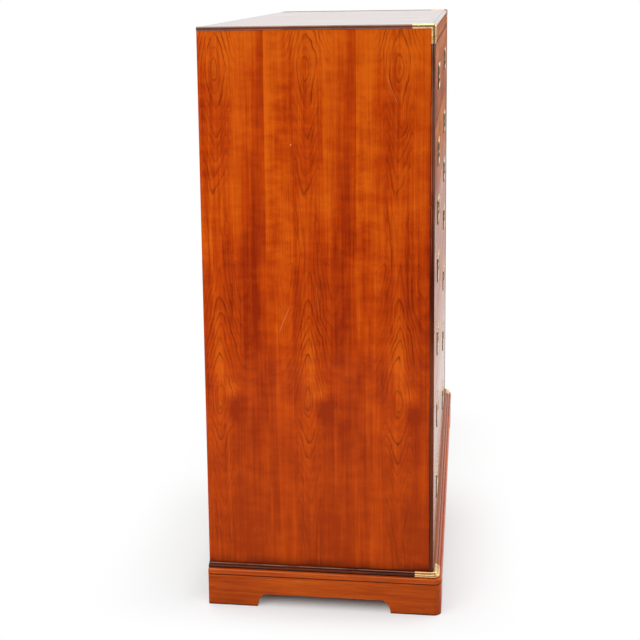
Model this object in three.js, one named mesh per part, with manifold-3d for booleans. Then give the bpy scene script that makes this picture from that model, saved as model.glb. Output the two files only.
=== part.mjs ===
// A wide campaign chest of seven drawers, in millimetres, +Z up, front towards -Y.
// The origin is on the floor, below the middle of the whole chest, plinth included.
import * as THREE from "three";
import { mergeVertices } from "three/addons/utils/BufferGeometryUtils.js";
import Module from "manifold-3d";

const wasm = await Module();
wasm.setup();

// The case
const caseWidth = 1300;
const caseDepth = 493;
const caseHeight = 1270;
const sideThick = 19;
const topThick = 19;
const backThick = 6;
const backRebateWidth = 9;
const housingDepth = 6;

// The round beads along the case's front corners and top edges
const beadRadius = 4.5;
const beadInset = 2;
const beadStand = 1;
const quirkWidth = 0.6;
const quirkAngle = 150;
const topBandWidth = 16;
const stileBandWidth = 19;

// The front opening: a rail over seven drawers, the third one shallow
const topRailDepth = 40;
const drawerCount = 7;
const shallowDrawerIndex = 3;
const shallowPitch = 96;
const frontTopGap = 2.4;
const frontBottomGap = 0.6;
const stileGap = 2;
const frontThick = 20;
const stopGap = 0.5;

// The dust panels that carry the drawers
const dustThick = 12;
const guideHeight = 10;
const deckEdge = 25.5;
const deckRailDepth = 60;

// The drawer boxes
const boxSideThick = 12.5;
const boxBackThick = 12.5;
const boxBottomThick = 5;
const boxBottomRise = 8;
const boxSideClearance = 4;
const boxTopClearance = 5;
const boxBackClearance = 25;
const guideClearance = 0.5;
const runGap = 0.3;
const muntinWidth = 40;

// The plinth, its cap moulding and the two reeds above it
const plinthHeight = 70;
const plinthProud = 18;
const plinthThick = 22;
const footLength = 109;
const footCutHeight = 29;
const footCoveRun = 20;
const footCoveRise = 26;
const footCoveStartAngle = 16;
const mitreGap = 0.3;
const capHeight = 14;
const capProud = 19;
const capRound = 5;
const capQuirk = 1.5;
const reedBandHeight = 10;
const reedBandProud = 13;
const reedRadius = 3.2;
const reedStepOut = 5.2;
const plinthBackThick = 18;
const plinthBackInset = 22;
const plinthBackRise = 28;

// The brass corners
const brassGap = 0.3;
const brassThick = 0.8;
const topBrassLeg = 42;
const stileBrassLeg = 35;
const baseBrassLeg = 39;

// The flush pulls: a cast plate with a sunk cup, and a bail that swings in it
const pullSpotShare = 0.25;
const plateWidth = 114;
const plateHeight = 57;
const plateThick = 2;
const plateCorner = 4;
const cupWidth = 92;
const cupHeight = 38;
const cupDepth = 9;
const cupCorner = 6;
const cupWall = 3;
const cupFloor = 1.5;
const pocketGap = 0.3;
const bailRadius = 2.6;
const bailSideGap = 0.8;
const bailDrop = 20;
const bailBend = 6;
const bailSetBack = 3.4;
const bailBelowCupTop = 5.5;
const pinRadius = 1.9;
const pinLength = 2.2;
const pinGap = 0.3;

// Facets: steps in a quarter turn of each kind of curve
const mouldingSteps = 4;
const cornerSteps = 6;
const coveSteps = 5;
const plateSteps = 3;
const bailSteps = 3;
const bailSides = 8;
const brassSteps = 5;
const cutOverrun = 5;

// The ways that the chest's sides face, seen from above, in degrees
const leftAngle = 180;
const frontAngle = 270;
const rightAngle = 360;
const leftMitreAngle = (leftAngle + frontAngle) / 2;
const rightMitreAngle = (frontAngle + rightAngle) / 2;

// Places worked out from the sizes above
const halfWidth = caseWidth / 2;
const backY = (caseDepth + capProud) / 2;
const frontY = backY - caseDepth;
const innerX = halfWidth - sideThick;
const beadAxisX = halfWidth - beadInset;
const beadAxisY = frontY + beadRadius;
const beadAxisZ = caseHeight - beadRadius;
const topUnderBead = beadAxisZ - beadRadius;
const topSurface = caseHeight - beadStand;
const faceY = frontY + beadStand;
const bandBackY = beadAxisY + topBandWidth;
const stileInnerX = beadAxisX - stileBandWidth;
const backPanelY = backY - backThick;
const capTop = plinthHeight + capHeight;
const reedTop = capTop + reedBandHeight;
const deckLine = plinthHeight + deckEdge;
const deckTop = deckLine + dustThick / 2;
const deckRailBackY = frontY + deckRailDepth;
const railBottom = caseHeight - topRailDepth;
const deepPitch = (railBottom - deckLine - shallowPitch) / (drawerCount - 1);
const dustFrontY = faceY + frontThick + stopGap;
const pullX = caseWidth * pullSpotShare;

// Lines between the drawers, from the top rail down to the deck
const drawerLines = [railBottom];
for (let row = 1; row <= drawerCount; row += 1) {
  const pitch = row === shallowDrawerIndex ? shallowPitch : deepPitch;
  drawerLines.push(drawerLines[row - 1] - pitch);
}

const degrees = Math.PI / 180;

const woods = {
  veneer: { color: 0xb4531b, roughness: 0.3, metalness: 0 },
  bead: { color: 0x3f1c12, roughness: 0.28, metalness: 0 },
  plinth: { color: 0xa0481c, roughness: 0.32, metalness: 0 },
  drawer: { color: 0xc08a55, roughness: 0.45, metalness: 0 },
  inner: { color: 0xcba77a, roughness: 0.7, metalness: 0 },
  board: { color: 0x8c6a48, roughness: 0.8, metalness: 0 },
};
const brass = { color: 0xc79a52, roughness: 0.3, metalness: 1 };

const chest = new THREE.Group();

// One named piece of the chest
function addPiece(name, geometry, finish) {
  const mesh = new THREE.Mesh(geometry, new THREE.MeshStandardMaterial(finish));
  mesh.name = name;
  chest.add(mesh);
  return mesh;
}

// A geometry with its shared corners merged, without faces that have shrunk to a line
function weld(geometry) {
  const bare = geometry.clone();
  bare.deleteAttribute("normal");
  bare.deleteAttribute("uv");
  const merged = mergeVertices(bare, 1e-4);
  const index = merged.index.array;
  const kept = [];
  for (let i = 0; i < index.length; i += 3) {
    const [a, b, c] = [index[i], index[i + 1], index[i + 2]];
    if (a !== b && b !== c && c !== a) kept.push(a, b, c);
  }
  merged.setIndex(kept);
  return merged;
}

function solidOf(geometry) {
  const welded = weld(geometry);
  return new wasm.Manifold(
    new wasm.Mesh({
      numProp: 3,
      vertProperties: welded.attributes.position.array,
      triVerts: new Uint32Array(welded.index.array),
    }),
  );
}

function geometryOf(solid) {
  const mesh = solid.getMesh();
  const geometry = new THREE.BufferGeometry();
  const places = new Float32Array(mesh.numVert * 3);
  for (let i = 0; i < mesh.numVert; i += 1) {
    places.set(mesh.vertProperties.subarray(i * mesh.numProp, i * mesh.numProp + 3), i * 3);
  }
  geometry.setAttribute("position", new THREE.BufferAttribute(places, 3));
  geometry.setIndex(new THREE.BufferAttribute(new Uint32Array(mesh.triVerts), 1));
  geometry.computeVertexNormals();
  return geometry;
}

// A block between two corners
function block([x0, x1], [y0, y1], [z0, z1]) {
  const geometry = new THREE.BoxGeometry(x1 - x0, y1 - y0, z1 - z0);
  return geometry.translate((x0 + x1) / 2, (y0 + y1) / 2, (z0 + z1) / 2);
}

// Points on an arc, in degrees, with its two ends
function arc(centreU, centreV, radius, from, to, steps) {
  return Array.from({ length: steps + 1 }, (_, i) => {
    const angle = (from + ((to - from) * i) / steps) * degrees;
    return [centreU + radius * Math.cos(angle), centreV + radius * Math.sin(angle)];
  });
}

function shapeOf(points) {
  return new THREE.Shape(points.map(([u, v]) => new THREE.Vector2(u, v)));
}

function extrude(points, depth) {
  return new THREE.ExtrudeGeometry(shapeOf(points), { depth, bevelEnabled: false });
}

// An outline in X and Y, raised from z0 to z1
function raise(points, z0, z1) {
  return extrude(points, z1 - z0).translate(0, 0, z0);
}

// An outline in Y and Z, drawn out along X from x0 to x1
function drawAlongX(points, x0, x1) {
  const turn = new THREE.Matrix4().makeBasis(
    new THREE.Vector3(0, 1, 0),
    new THREE.Vector3(0, 0, 1),
    new THREE.Vector3(1, 0, 0),
  );
  return extrude(points, x1 - x0).applyMatrix4(turn).translate(x0, 0, 0);
}

// An outline in X and Z, drawn out along Y from y0 to y1
function drawAlongY(points, y0, y1) {
  return extrude(points, y1 - y0).rotateX(Math.PI / 2).translate(0, y1, 0);
}

function roundedRectangle(width, height, corner) {
  const [u, v] = [width / 2 - corner, height / 2 - corner];
  return [
    ...arc(u, -v, corner, -90, 0, plateSteps),
    ...arc(u, v, corner, 0, 90, plateSteps),
    ...arc(-u, v, corner, 90, 180, plateSteps),
    ...arc(-u, -v, corner, 180, 270, plateSteps),
  ];
}

function mirroredX(geometry) {
  const flipped = weld(geometry).scale(-1, 1, 1);
  const index = Array.from(flipped.index.array);
  for (let i = 0; i < index.length; i += 3) {
    [index[i + 1], index[i + 2]] = [index[i + 2], index[i + 1]];
  }
  flipped.setIndex(index);
  flipped.computeVertexNormals();
  return flipped;
}

// A moulding drawn past a row of stations. The section is a list of [offset, height].
// A station's out is the way its positive offsets go, and its mitre the way of the others.
function moulding(section, stations) {
  const places = [];
  for (const { x, y, out, mitre } of stations) {
    for (const [offset, height] of section) {
      const way = offset > 0 ? out : mitre;
      places.push(x + offset * way[0], y + offset * way[1], height);
    }
  }
  const ring = section.length;
  const faces = [];
  for (let s = 0; s < stations.length - 1; s += 1) {
    for (let i = 0; i < ring; i += 1) {
      const j = (i + 1) % ring;
      const [a, b, c, d] = [s * ring + i, s * ring + j, (s + 1) * ring + j, (s + 1) * ring + i];
      faces.push(a, c, b, a, d, c);
    }
  }
  const contour = section.map(([u, v]) => new THREE.Vector2(u, v));
  const last = (stations.length - 1) * ring;
  for (const [a, b, c] of THREE.ShapeUtils.triangulateShape(contour, [])) {
    faces.push(a, b, c, last + a, last + c, last + b);
  }
  const geometry = new THREE.BufferGeometry();
  geometry.setAttribute("position", new THREE.Float32BufferAttribute(places, 3));
  geometry.setIndex(faces);
  return weld(geometry);
}

// Stations round one front corner of the case, from one heading to another, in degrees
function cornerStations(x, y, from, to, steps) {
  const mitre = [Math.sign(x), -1];
  return arc(0, 0, 1, from, to, steps).map((out) => ({ x, y, out, mitre }));
}

// Stations down the left side, across the front and back along the right side
function threeSides(x, y) {
  return [
    { x: -x, y: backY, out: [-1, 0], mitre: [-1, 0] },
    ...cornerStations(-x, y, leftAngle, frontAngle, cornerSteps),
    ...cornerStations(x, y, frontAngle, rightAngle, cornerSteps),
    { x, y: backY, out: [1, 0], mitre: [1, 0] },
  ];
}

// The section of a round bead on the corner of a flat band, with its axis at 0, 0.
// The band runs away from the bead, and a narrow quirk parts the two.
function staffBead(bandWidth) {
  const [quirkStart] = arc(0, 0, beadRadius, quirkAngle, quirkAngle, 1);
  const flat = beadRadius - beadStand;
  return [
    [-bandWidth, -beadRadius],
    ...arc(0, 0, beadRadius, -90, quirkAngle, mouldingSteps * 3),
    [quirkStart[0] - quirkWidth, flat],
    [-bandWidth, flat],
  ];
}

function buildTop() {
  const bead = staffBead(topBandWidth).map(([u, v]) => [u, beadAxisZ + v]);
  addPiece("top_edge_bead", moulding(bead, threeSides(beadAxisX, beadAxisY)), woods.bead);
  const panel = block([-innerX, innerX], [bandBackY, backY], [topSurface - topThick, topSurface]);
  addPiece("top_panel", panel, woods.veneer);
  const rail = block([-stileInnerX, stileInnerX], [faceY, bandBackY], [railBottom, topUnderBead]);
  addPiece("top_rail", rail, woods.veneer);
}

// The side panel's outline has a sill at the front, which the corner bead stands on
function sidePanel() {
  const outline = [
    [frontY, plinthHeight],
    [backY, plinthHeight],
    [backY, topUnderBead],
    [beadAxisY + beadRadius, topUnderBead],
    [beadAxisY + beadRadius, deckLine],
    [frontY, deckLine],
  ];
  const housingX = innerX + housingDepth;
  let panel = solidOf(drawAlongX(outline, -halfWidth, -innerX));
  const cuts = drawerLines.slice(1).map((line) => [
    [-housingX, -innerX + cutOverrun],
    [dustFrontY, backPanelY],
    [line - dustThick / 2, line + dustThick / 2],
  ]);
  cuts.push(
    [
      [-housingX, -innerX + cutOverrun],
      [frontY - cutOverrun, deckRailBackY],
      [plinthHeight - cutOverrun, deckLine],
    ],
    [
      [-innerX - backRebateWidth, -innerX + cutOverrun],
      [backPanelY, backY + cutOverrun],
      [plinthHeight - cutOverrun, topSurface - topThick],
    ],
  );
  for (const [xs, ys, zs] of cuts) panel = panel.subtract(solidOf(block(xs, ys, zs)));
  return geometryOf(panel);
}

// The corner bead's section is the top bead's, with a wider band for the stile
function cornerBead() {
  const outline = staffBead(stileBandWidth).map(([u, v]) => [-beadAxisX - u, beadAxisY - v]);
  return raise(outline, deckLine, topUnderBead);
}

function buildSides() {
  const panel = sidePanel();
  addPiece("side_panel_left", panel, woods.veneer);
  addPiece("side_panel_right", mirroredX(panel), woods.veneer);
  const bead = cornerBead();
  addPiece("corner_bead_left", bead, woods.bead);
  addPiece("corner_bead_right", mirroredX(bead), woods.bead);
  const rebateX = innerX + backRebateWidth;
  const back = block([-rebateX, rebateX], [backPanelY, backY], [plinthHeight, topSurface - topThick]);
  addPiece("back_panel", back, woods.board);
}

// Two guide strips that stand on a carrier board, beside the drawer that runs on it
function withGuides(carrier, top) {
  const insideX = stileInnerX - boxSideClearance + guideClearance;
  const along = [dustFrontY, backPanelY];
  const upright = [top - dustThick / 2, top + guideHeight];
  const left = solidOf(block([-innerX, -insideX], along, upright));
  const right = solidOf(block([insideX, innerX], along, upright));
  return geometryOf(carrier.add(left).add(right));
}

function buildCarriers() {
  const housingX = innerX + housingDepth;
  drawerLines.slice(1, drawerCount).forEach((line, i) => {
    const top = line + dustThick / 2;
    const slab = block([-housingX, housingX], [dustFrontY, backPanelY], [top - dustThick, top]);
    addPiece(`dust_panel_${i + 1}`, withGuides(solidOf(slab), top), woods.inner);
  });
  const profile = [
    [frontY, plinthHeight],
    [deckRailBackY, plinthHeight],
    [deckRailBackY, deckTop - dustThick],
    [backPanelY, deckTop - dustThick],
    [backPanelY, deckTop],
    [dustFrontY, deckTop],
    [dustFrontY, deckLine],
    [frontY, deckLine],
  ];
  const deck = solidOf(drawAlongX(profile, -housingX, housingX));
  addPiece("bottom_panel", withGuides(deck, deckTop), woods.inner);
}

// The gap between two feet, seen square on, with a cove in each upper corner that leans
// at its foot. It runs below the floor by the overrun, so that it cuts the board right through.
function footGap(from, to) {
  const shoulder = footCutHeight - footCoveRise;
  const curve = arc(0, 0, 1, footCoveStartAngle, 90, coveSteps);
  const [footU, footV] = curve[0];
  const cove = curve.map(([u, v]) => [
    (footCoveRun * (footU - u)) / footU,
    shoulder + (footCoveRise * (v - footV)) / (1 - footV),
  ]);
  return [
    [from, -cutOverrun],
    [to, -cutOverrun],
    ...cove.map(([inward, height]) => [to - inward, height]),
    ...cove.map(([inward, height]) => [from + inward, height]).reverse(),
  ];
}

function buildPlinth() {
  const section = [
    [plinthProud - plinthThick, 0],
    [plinthProud, 0],
    [plinthProud, plinthHeight],
    [plinthProud - plinthThick, plinthHeight],
  ];
  const half = cornerSteps / 2;
  const outsideX = halfWidth + plinthProud;
  const outsideY = frontY - plinthProud;
  const front = solidOf(
    moulding(section, [
      ...cornerStations(-halfWidth, frontY, leftMitreAngle, frontAngle, half),
      ...cornerStations(halfWidth, frontY, frontAngle, rightMitreAngle, half),
    ]),
  );
  const frontCut = drawAlongY(
    footGap(footLength - outsideX, outsideX - footLength),
    outsideY - cutOverrun,
    frontY + plinthThick + cutOverrun,
  );
  addPiece("plinth_front", geometryOf(front.subtract(solidOf(frontCut))), woods.plinth);
  const side = solidOf(
    moulding(section, [
      { x: -halfWidth, y: backY, out: [-1, 0], mitre: [-1, 0] },
      ...cornerStations(-halfWidth, frontY + mitreGap, leftAngle, leftMitreAngle, half),
    ]),
  );
  const sideCut = drawAlongX(
    footGap(outsideY + footLength, backY - footLength),
    -outsideX - cutOverrun,
    -outsideX + plinthThick + cutOverrun,
  );
  const board = geometryOf(side.subtract(solidOf(sideCut)));
  addPiece("plinth_left", board, woods.plinth);
  addPiece("plinth_right", mirroredX(board), woods.plinth);
  const insideX = outsideX - plinthThick;
  const railY = backY - plinthBackInset;
  const rail = block([-insideX, insideX], [railY - plinthBackThick, railY], [plinthBackRise, plinthHeight]);
  addPiece("plinth_back", rail, woods.inner);
}

function buildCap() {
  const section = [
    [0, plinthHeight],
    [capProud - 2 * capQuirk, plinthHeight],
    [capProud - 2 * capQuirk, plinthHeight + capQuirk],
    [capProud, plinthHeight + capQuirk],
    ...arc(capProud - capRound, capTop - capRound, capRound, 0, 90, mouldingSteps),
    [0, capTop],
  ];
  addPiece("plinth_cap", moulding(section, threeSides(halfWidth, frontY)), woods.plinth);
}

// The two reeds' outline, grown outwards by a skin, from the lower reed to the upper one's top
function reedOutline(skin, lowest) {
  const radius = reedRadius + skin;
  const outer = [reedBandProud - reedRadius, capTop + reedRadius];
  const inner = [outer[0] - reedStepOut, reedTop - reedRadius];
  const rise = inner[1] - outer[1];
  const apart = Math.hypot(reedStepOut, rise);
  const heading = Math.atan2(rise, -reedStepOut) / degrees;
  const spread = Math.acos(Math.min(1, apart / (2 * radius))) / degrees;
  const start = Math.asin(Math.max(-1, (lowest - outer[1]) / radius)) / degrees;
  const steps = mouldingSteps * 2;
  return [
    ...arc(...outer, radius, start, heading - spread, steps),
    ...arc(...inner, radius, heading - 180 + spread, 90, steps).slice(1),
  ];
}

function buildReeds() {
  const section = [[0, capTop], ...reedOutline(0, capTop), [0, reedTop]];
  addPiece("base_bead", moulding(section, threeSides(halfWidth, frontY)), woods.bead);
}

// A brass skin over the two reeds, round the front corner of the base
function baseBrass() {
  const lowest = capTop + brassGap;
  const nearest = beadRadius - beadInset + brassGap;
  const skin = (lift) => [...reedOutline(lift, lowest), [nearest, reedTop + lift]];
  const section = [...skin(brassGap + brassThick), ...skin(brassGap).reverse()];
  return moulding(section, [
    { x: -halfWidth, y: frontY + baseBrassLeg, out: [-1, 0], mitre: [-1, 0] },
    ...cornerStations(-halfWidth, frontY, leftAngle, frontAngle, cornerSteps),
    { x: baseBrassLeg - halfWidth, y: frontY, out: [0, -1], mitre: [0, -1] },
  ]);
}

// Three round bars that meet in a ball, along the two top beads and down the corner bead
function cornerBars(radius, topLeg, stileLeg) {
  const segments = brassSteps * 4;
  const bar = (length) => new THREE.CylinderGeometry(radius, radius, length, segments);
  const across = bar(topLeg).rotateZ(Math.PI / 2).translate(topLeg / 2, 0, 0);
  const back = bar(topLeg).translate(0, topLeg / 2, 0);
  const down = bar(stileLeg).rotateX(Math.PI / 2).translate(0, 0, -stileLeg / 2);
  const ball = new THREE.SphereGeometry(radius, segments, segments / 2).rotateX(Math.PI / 2);
  return [across, back, down].reduce((whole, leg) => whole.add(solidOf(leg)), solidOf(ball));
}

// A brass skin over the three beads that meet at a top front corner
function topBrass() {
  const skin = cornerBars(beadRadius + brassGap + brassThick, topBrassLeg, stileBrassLeg);
  const core = cornerBars(
    beadRadius + brassGap,
    topBrassLeg + cutOverrun,
    stileBrassLeg + cutOverrun,
  );
  const reach = topBrassLeg + stileBrassLeg;
  const wood = block(
    [-beadInset - brassGap, reach],
    [faceY - beadAxisY - brassGap, reach],
    [-reach, topSurface - beadAxisZ + brassGap],
  );
  const shell = skin.subtract(core).subtract(solidOf(wood));
  return geometryOf(shell).translate(-beadAxisX, beadAxisY, beadAxisZ);
}

function buildBrass() {
  const top = topBrass();
  addPiece("corner_brass_top_left", top, brass);
  addPiece("corner_brass_top_right", mirroredX(top), brass);
  const base = baseBrass();
  addPiece("corner_brass_base_left", base, brass);
  addPiece("corner_brass_base_right", mirroredX(base), brass);
}

// A drawer: its front, and the box behind it with a muntin under the bottom
function drawer(upper, lower) {
  const pullZ = (upper + lower) / 2;
  const boxX = stileInnerX - boxSideClearance;
  const insideX = boxX - boxSideThick;
  const boxFront = faceY + frontThick;
  const boxBack = backPanelY - boxBackClearance;
  const boxLow = lower + dustThick / 2 + runGap;
  const boxHigh = upper - dustThick / 2 - boxTopClearance;
  const bottomLow = boxLow + boxBottomRise;
  const frontX = stileInnerX - stileGap;
  let body = solidOf(block([-boxX, boxX], [boxFront - boxSideThick, boxBack], [boxLow, boxHigh]));
  const cavity = block(
    [-insideX, insideX],
    [boxFront, boxBack - boxBackThick],
    [bottomLow + boxBottomThick, boxHigh + cutOverrun],
  );
  body = body.subtract(solidOf(cavity));
  for (const side of [-1, 1]) {
    const xs = [(side * muntinWidth) / 2, side * insideX].sort((a, b) => a - b);
    const under = block(xs, [boxFront, boxBack + cutOverrun], [boxLow - cutOverrun, bottomLow]);
    body = body.subtract(solidOf(under));
  }
  const front = block([-frontX, frontX], [faceY, boxFront], [lower + frontBottomGap, upper - frontTopGap]);
  body = body.add(solidOf(front));
  const pocket = roundedRectangle(
    cupWidth + 2 * (cupWall + pocketGap),
    cupHeight + 2 * (cupWall + pocketGap),
    cupCorner + cupWall,
  );
  const pocketBack = faceY - plateThick + cupDepth + cupFloor + pocketGap;
  for (const x of [-pullX, pullX]) {
    const cut = drawAlongY(pocket, faceY - cutOverrun, pocketBack).translate(x, 0, pullZ);
    body = body.subtract(solidOf(cut));
  }
  return geometryOf(body);
}

// The pull's plate and cup, with its middle at x = 0, z = 0 and its back on the drawer's face
function pullPlate() {
  const plateFront = faceY - plateThick;
  const cupBack = plateFront + cupDepth + cupFloor;
  const flange = drawAlongY(roundedRectangle(plateWidth, plateHeight, plateCorner), plateFront, faceY);
  const shell = drawAlongY(
    roundedRectangle(cupWidth + 2 * cupWall, cupHeight + 2 * cupWall, cupCorner + cupWall),
    plateFront + plateThick / 2,
    cupBack,
  );
  const sunk = drawAlongY(
    roundedRectangle(cupWidth, cupHeight, cupCorner),
    plateFront - cutOverrun,
    plateFront + cupDepth,
  );
  const pinHoles = new THREE.CylinderGeometry(
    pinRadius + pinGap,
    pinRadius + pinGap,
    cupWidth + 2 * (pinLength + pinGap),
    bailSides,
  );
  pinHoles.rotateZ(Math.PI / 2);
  pinHoles.translate(0, plateFront + bailSetBack, cupHeight / 2 - bailBelowCupTop);
  const body = solidOf(flange).add(solidOf(shell)).subtract(solidOf(sunk));
  return geometryOf(body.subtract(solidOf(pinHoles)));
}

// A round bar through points in the XZ plane, with a radius for each point
function bar(points, radii, sides) {
  const places = [];
  points.forEach(([x, z], i) => {
    const before = points[Math.max(i - 1, 0)];
    const after = points[Math.min(i + 1, points.length - 1)];
    const arrive = new THREE.Vector2(x - before[0], z - before[1]).normalize();
    const leave = new THREE.Vector2(after[0] - x, after[1] - z).normalize();
    const along = arrive.clone().add(leave).normalize();
    const widen = 1 / (arrive.lengthSq() && leave.lengthSq() ? along.dot(leave) : 1);
    for (let k = 0; k < sides; k += 1) {
      const angle = (2 * Math.PI * k) / sides;
      const across = radii[i] * Math.cos(angle) * widen;
      places.push(x - along.y * across, radii[i] * Math.sin(angle), z + along.x * across);
    }
  });
  const faces = [];
  for (let s = 0; s < points.length - 1; s += 1) {
    for (let k = 0; k < sides; k += 1) {
      const j = (k + 1) % sides;
      const [a, b, c, d] = [s * sides + k, s * sides + j, (s + 1) * sides + j, (s + 1) * sides + k];
      faces.push(a, c, b, a, d, c);
    }
  }
  const last = (points.length - 1) * sides;
  for (let k = 1; k < sides - 1; k += 1) {
    faces.push(0, k, k + 1, last, last + k + 1, last + k);
  }
  const geometry = new THREE.BufferGeometry();
  geometry.setAttribute("position", new THREE.Float32BufferAttribute(places, 3));
  geometry.setIndex(faces);
  return geometry;
}

// The bail hangs from the plate's pin holes, with its hinge line at z = 0
function pullBail() {
  const armX = cupWidth / 2 - bailSideGap - bailRadius;
  const pinX = cupWidth / 2 + pinLength;
  const turnX = armX - bailBend;
  const turnZ = bailBend - bailDrop;
  const right = [
    ...arc(turnX, turnZ, bailBend, -90, 0, bailSteps),
    [armX, 0],
    [armX + bailRadius, 0],
    [pinX, 0],
  ];
  const rightRadii = [...Array(bailSteps + 2).fill(bailRadius), pinRadius, pinRadius];
  const left = right.map(([x, z]) => [-x, z]).reverse();
  return bar([...left, ...right], [...rightRadii].reverse().concat(rightRadii), bailSides);
}

function buildDrawers() {
  const plate = pullPlate();
  const bail = pullBail();
  const hingeY = faceY - plateThick + bailSetBack;
  const hingeRise = cupHeight / 2 - bailBelowCupTop;
  for (let row = 1; row <= drawerCount; row += 1) {
    const [upper, lower] = [drawerLines[row - 1], drawerLines[row]];
    const middle = (upper + lower) / 2;
    addPiece(`drawer_${row}`, drawer(upper, lower), woods.drawer);
    for (const [side, x] of [["left", -pullX], ["right", pullX]]) {
      addPiece(`pull_plate_${row}_${side}`, plate, brass).position.set(x, 0, middle);
      addPiece(`pull_bail_${row}_${side}`, bail, brass).position.set(x, hingeY, middle + hingeRise);
    }
  }
}

buildTop();
buildSides();
buildCarriers();
buildPlinth();
buildCap();
buildReeds();
buildBrass();
buildDrawers();

export default chest;
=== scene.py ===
"""A wide campaign chest of seven drawers, dressed over its packed solids, in metres."""

from __future__ import annotations

import logging
import math
from dataclasses import dataclass
from enum import Enum
from typing import Any, Callable, Sequence

import bmesh
import bpy
from mathutils import Matrix, Vector

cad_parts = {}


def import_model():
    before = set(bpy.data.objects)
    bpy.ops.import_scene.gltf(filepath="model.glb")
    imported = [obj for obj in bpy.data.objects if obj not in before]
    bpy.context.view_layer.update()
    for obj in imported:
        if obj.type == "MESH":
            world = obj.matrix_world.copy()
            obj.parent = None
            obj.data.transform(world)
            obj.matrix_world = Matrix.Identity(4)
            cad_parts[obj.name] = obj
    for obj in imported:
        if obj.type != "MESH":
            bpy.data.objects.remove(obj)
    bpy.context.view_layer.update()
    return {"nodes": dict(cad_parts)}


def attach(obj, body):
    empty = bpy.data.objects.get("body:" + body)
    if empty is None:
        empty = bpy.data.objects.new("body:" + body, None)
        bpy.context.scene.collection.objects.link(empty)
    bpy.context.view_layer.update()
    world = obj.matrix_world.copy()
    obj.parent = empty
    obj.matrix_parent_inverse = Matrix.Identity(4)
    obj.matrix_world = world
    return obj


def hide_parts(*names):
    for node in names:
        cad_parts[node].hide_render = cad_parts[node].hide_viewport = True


LOG = logging.getLogger("campaign_chest")
MM = 0.001
SIDES = (("left", -1), ("right", 1))
Colour = tuple[float, float, float, float]
Outline = list[tuple[float, float]]
Material = bpy.types.Material
Scratch = tuple[tuple[float, float], tuple[float, float], float, float]


def srgb(*parts: int) -> Colour:
    """Turns a colour as a screen shows it, 0 to 255, into the renderer's linear one.

    Args:
        parts: Its red, green and blue.

    Returns:
        The linear colour with an alpha of 1.
    """
    shares = [part / 255 for part in parts]
    linear = [s / 12.92 if s <= 0.04045 else ((s + 0.055) / 1.055) ** 2.4 for s in shares]
    return (*linear, 1.0)


# ---- Sizes ----


@dataclass(frozen=True)
class ChestSizes:
    """The chest's sizes as its solids have them, and the places that follow from them."""

    width: float = 1300 * MM
    depth: float = 493 * MM
    height: float = 1270 * MM
    cap_proud: float = 19 * MM
    bead_radius: float = 4.5 * MM
    bead_inset: float = 2 * MM
    bead_stand: float = 1 * MM
    quirk_width: float = 0.6 * MM
    quirk_angle: float = 150
    top_band: float = 16 * MM
    stile_band: float = 19 * MM
    plinth_height: float = 70 * MM
    plinth_proud: float = 18 * MM
    plinth_thick: float = 22 * MM
    foot_length: float = 109 * MM
    foot_cut: float = 29 * MM
    cove_run: float = 20 * MM
    cove_rise: float = 26 * MM
    cove_start: float = 16
    cap_height: float = 14 * MM
    cap_round: float = 5 * MM
    cap_quirk: float = 1.5 * MM
    reed_band: float = 10 * MM
    reed_proud: float = 13 * MM
    reed_radius: float = 3.2 * MM
    reed_step: float = 5.2 * MM
    deck_edge: float = 25.5 * MM
    rail_depth: float = 40 * MM
    shallow_pitch: float = 96 * MM
    front_thick: float = 20 * MM
    dust_thick: float = 12 * MM
    drawers: int = 7
    shallow_row: int = 3
    half_width: float = width / 2
    back_y: float = (depth + cap_proud) / 2
    front_y: float = back_y - depth
    face_y: float = front_y + bead_stand
    bead_x: float = half_width - bead_inset
    bead_y: float = front_y + bead_radius
    bead_z: float = height - bead_radius
    cap_top: float = plinth_height + cap_height
    reed_top: float = cap_top + reed_band
    deck_line: float = plinth_height + deck_edge

    @property
    def lines(self) -> list[float]:
        """The heights between the drawers, from the top rail down.

        Returns:
            One height more than there are drawers.
        """
        heights = [self.height - self.rail_depth]
        deep = (heights[0] - self.deck_line - self.shallow_pitch) / (self.drawers - 1)
        for row in range(1, self.drawers + 1):
            heights.append(heights[-1] - (self.shallow_pitch if row == self.shallow_row else deep))
        return heights


@dataclass(frozen=True)
class PullSizes:
    """The sizes of a flush pull, in metres."""

    spot: float = 325 * MM
    width: float = 114 * MM
    height: float = 57 * MM
    thick: float = 2 * MM
    corner: float = 4 * MM
    cup_width: float = 92 * MM
    cup_height: float = 38 * MM
    cup_depth: float = 9 * MM
    cup_corner: float = 6 * MM
    cup_wall: float = 3 * MM
    cup_floor: float = 1.5 * MM
    screw_x: float = 51.5 * MM
    screw_z: float = 23 * MM
    screw_radius: float = 2.5 * MM
    slot_half: float = 0.4 * MM
    bail_radius: float = 2.6 * MM
    side_gap: float = 0.8 * MM
    drop: float = 20 * MM
    bend: float = 6 * MM
    set_back: float = 3.4 * MM
    below_top: float = 5.5 * MM
    pin_radius: float = 1.9 * MM
    pin_length: float = 2.2 * MM


CHEST = ChestSizes()
PULL = PullSizes()


# ---- Shader arithmetic ----


def operation(kind: str, text: str, flipped: bool = False) -> Callable[..., Val]:
    """Makes a method of Val that adds one Math node.

    Args:
        kind: What the node does.
        text: The method's docstring.
        flipped: Whether the value itself comes second.

    Returns:
        The method.
    """

    def method(self: Val, *others: Number) -> Val:
        """Gets the text above."""
        values = (self, *others)
        return self.sheet.math(kind, *(values[::-1] if flipped else values))

    method.__doc__ = text
    return method


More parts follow.
